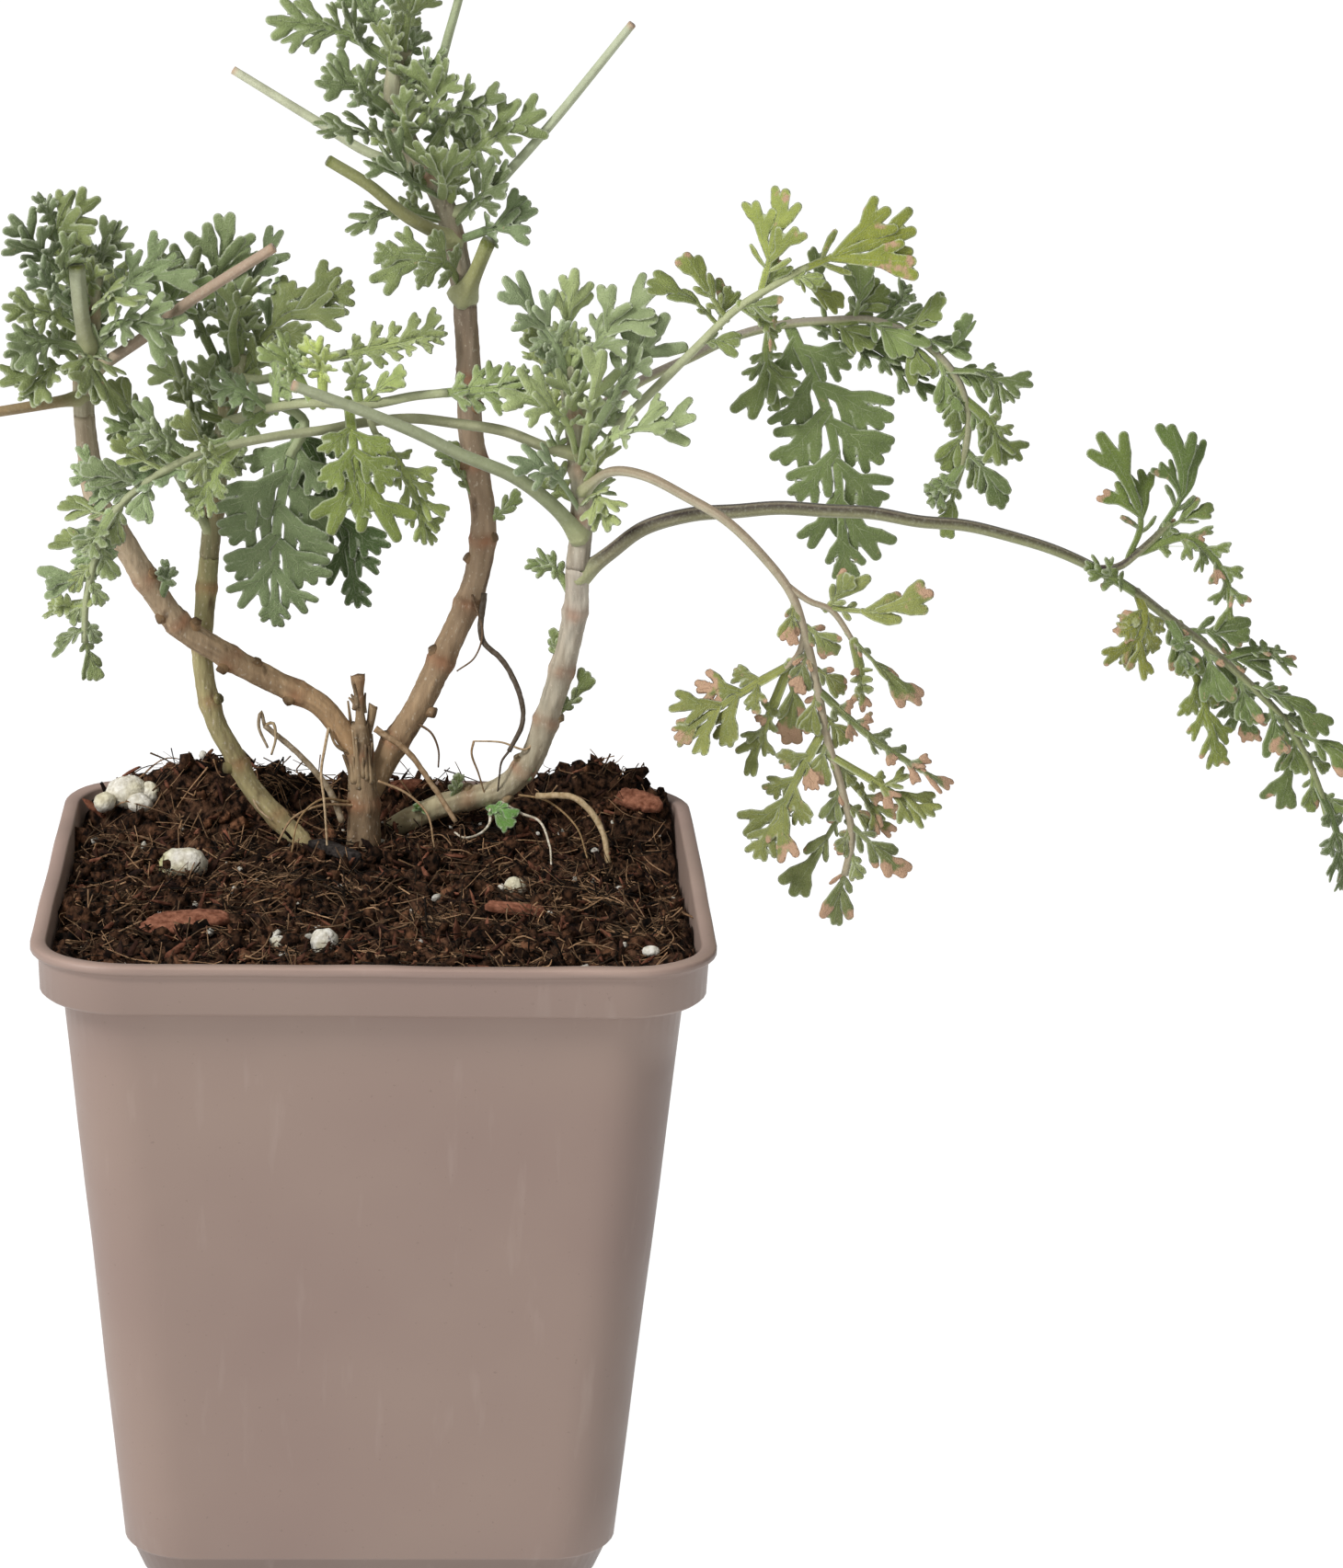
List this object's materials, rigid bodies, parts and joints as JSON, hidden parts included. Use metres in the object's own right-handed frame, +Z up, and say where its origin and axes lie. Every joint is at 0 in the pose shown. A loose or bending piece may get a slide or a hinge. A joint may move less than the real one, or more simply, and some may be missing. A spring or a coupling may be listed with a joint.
{
  "type": "potted artemisia",
  "caption": "Silver-leaved artemisia with pruned woody stems, cut petioles and arching lobed fronds, growing in peat in a square tapered nursery pot with a collar.",
  "frame": {"origin": "centre of the pot's underside, on the surface that the pot stands on", "axes": "+Z up along the pot, -Y towards the front of the pictured view, +X towards its right, where the longest frond reaches"},
  "size_m": [0.193, 0.09, 0.2151],
  "materials": {
    "pot_plastic": "satin",
    "peat_soil": "matte",
    "stem_bark": "matte",
    "green_stem": "matte",
    "perlite": "matte",
    "bark_flake": "matte",
    "charred_wood": "matte",
    "silver_leaf": "matte",
    "green_leaf": "matte",
    "petiole": "matte",
    "dry_root": "matte"
  },
  "bodies": {
    "root": {"pot": "pot_plastic", "soil": "peat_soil", "crown_with_stems_a_c": "stem_bark", "stem_b": "green_stem", "stem_d": "stem_bark", "perlite_back_left": "perlite", "perlite_left": "perlite", "perlite_front": "perlite", "perlite_front_small": "perlite", "perlite_right": "perlite", "bark_chip": "bark_flake", "charred_twig": "charred_wood", "leafy_shoot_a": "silver_leaf", "leafy_shoot_b": "silver_leaf", "leafy_shoot_c": "silver_leaf", "leafy_shoot_d": "silver_leaf", "cut_petiole_a_left": "petiole", "cut_petiole_a_right": "petiole", "cut_petiole_c_right": "petiole", "cut_petiole_c_top": "petiole", "cut_petiole_c_left": "petiole", "cut_petiole_d": "petiole", "frond_b_upper": "silver_leaf", "frond_b_right": "silver_leaf", "frond_b_drooping": "silver_leaf", "frond_b_back": "silver_leaf", "frond_b_low": "silver_leaf", "frond_d_left": "silver_leaf", "frond_d_upper": "green_leaf", "frond_d_arching": "green_leaf", "frond_d_front": "green_leaf", "frond_d_long": "green_leaf", "root_wiry": "dry_root", "root_tan": "dry_root", "dry_stalk_left": "dry_root", "dry_stalk_right": "dry_root"}
  },
  "joints": []
}
